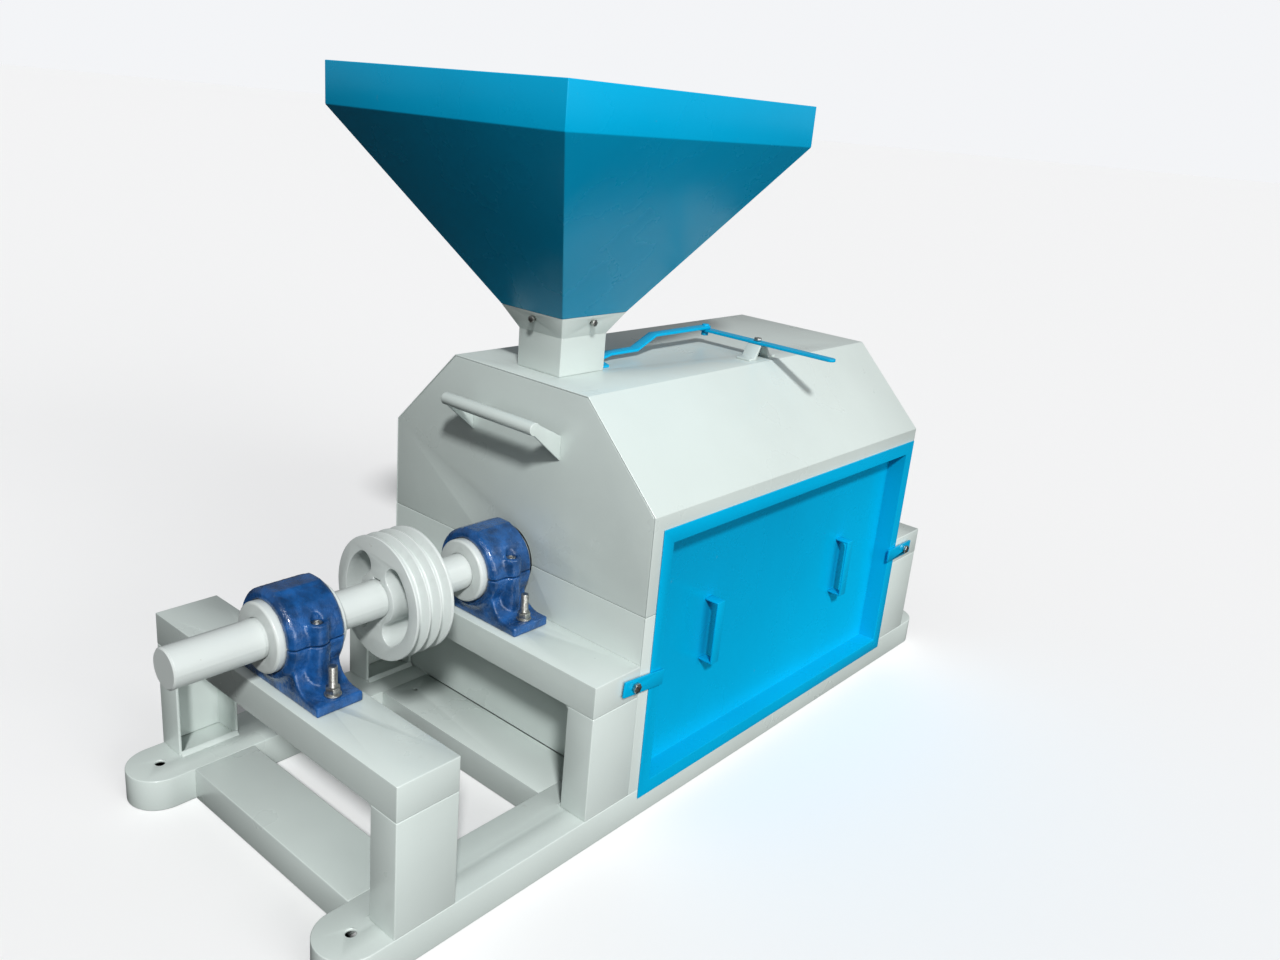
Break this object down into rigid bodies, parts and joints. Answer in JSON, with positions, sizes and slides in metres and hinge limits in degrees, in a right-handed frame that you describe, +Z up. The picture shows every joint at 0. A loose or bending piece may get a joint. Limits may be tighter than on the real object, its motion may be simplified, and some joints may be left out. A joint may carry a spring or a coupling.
{
  "type": "rice huller",
  "caption": "Horizontal steel rice huller: square hopper over a folded-steel cabinet with a lift-off door, belt pulley on a shaft in pedestal bearings, on a channel base.",
  "frame": {"origin": "middle of the machine's length and width, on the floor, in the vertical plane of the shaft", "axes": "+Y along the shaft from its free drive end to the rear, +X towards the access door, +Z up"},
  "size_m": [0.7834, 1.9764, 1.382],
  "materials": {
    "frame_paint": "gloss enamel over welded steel",
    "feed_paint": "gloss enamel",
    "shaft_paint": "sprayed enamel",
    "bearing_paint": "gloss enamel over rough casting",
    "seal_white": "sprayed enamel",
    "zinc": "zinc plated",
    "rotor_iron": "as cast, worn smooth",
    "bright_steel": "ground"
  },
  "bodies": {
    "machine": {"base_rail_left": "frame_paint", "base_rail_right": "frame_paint", "cross_channel_front": "frame_paint", "cross_channel_middle": "frame_paint", "cross_channel_rear": "frame_paint", "bridge_front": "frame_paint", "bridge_middle": "frame_paint", "bridge_rear": "frame_paint", "post_front_left": "frame_paint", "post_front_right": "frame_paint", "post_middle_left": "frame_paint", "post_middle_right": "frame_paint", "post_rear_left": "frame_paint", "post_rear_right": "frame_paint", "casing_front_panel": "frame_paint", "casing_rear_panel": "frame_paint", "casing_left_panel": "frame_paint", "casing_right_panel": "frame_paint", "hood_shell": "frame_paint", "hood_front_panel": "frame_paint", "hood_rear_panel": "frame_paint", "hood_handle_front": "frame_paint", "hood_handle_rear": "frame_paint", "feed_neck": "frame_paint", "lever_bracket": "frame_paint", "feed_chute": "frame_paint", "outlet_spout": "frame_paint", "chamber_saddles": "frame_paint", "access_door": "feed_paint", "door_handles": "feed_paint", "hopper": "feed_paint", "bearing_base_front": "bearing_paint", "bearing_cap_front": "bearing_paint", "bearing_base_middle": "bearing_paint", "bearing_cap_middle": "bearing_paint", "bearing_base_rear": "bearing_paint", "bearing_cap_rear": "bearing_paint", "bearing_seals": "seal_white", "latch_bolts": "zinc", "hopper_bolts": "zinc", "lever_pivot_bolt": "zinc", "bearing_studs": "zinc", "cap_bolts": "zinc", "chamber_bolts": "zinc", "chamber_cover": "rotor_iron", "chamber_trough": "rotor_iron", "huller_screens": "bright_steel", "huller_blade": "bright_steel"},
    "rotor": {"shaft": "shaft_paint", "shaft_keys": "bright_steel", "pulley": "shaft_paint", "bearing_inserts": "bright_steel", "huller_cylinder": "rotor_iron"},
    "gate": {"feed_gate": "feed_paint", "gate_link": "feed_paint"},
    "lever": {"gate_lever": "feed_paint"},
    "front_latch": {"latch_front": "feed_paint"},
    "rear_latch": {"latch_rear": "feed_paint"}
  },
  "joints": [
    {"name": "rotor_spin", "type": "hinge", "parent": "machine", "child": "rotor", "pos_m": [0, 0, 0.454], "axis": [0, 1, 0], "continuous": true},
    {"name": "lever_swing", "type": "hinge", "parent": "machine", "child": "lever", "pos_m": [0.154, 0.33575, 0.8733], "axis": [0, 0, 1], "range_deg": [-17, 17]},
    {"name": "gate_slide", "type": "slide", "parent": "machine", "child": "gate", "axis": [0, 1, 0], "range_m": [-0.046, 0.046]},
    {"name": "front_latch_turn", "type": "hinge", "parent": "machine", "child": "front_latch", "pos_m": [0.3812, -0.27925, 0.322], "axis": [1, 0, 0], "range_deg": [0, 96]},
    {"name": "rear_latch_turn", "type": "hinge", "parent": "machine", "child": "rear_latch", "pos_m": [0.3812, 0.80075, 0.322], "axis": [-1, 0, 0], "range_deg": [0, 90]}
  ],
  "couplings": [
    {"joint": "gate_slide", "follows": "lever_swing", "m_per_rad": -0.1535}
  ]
}
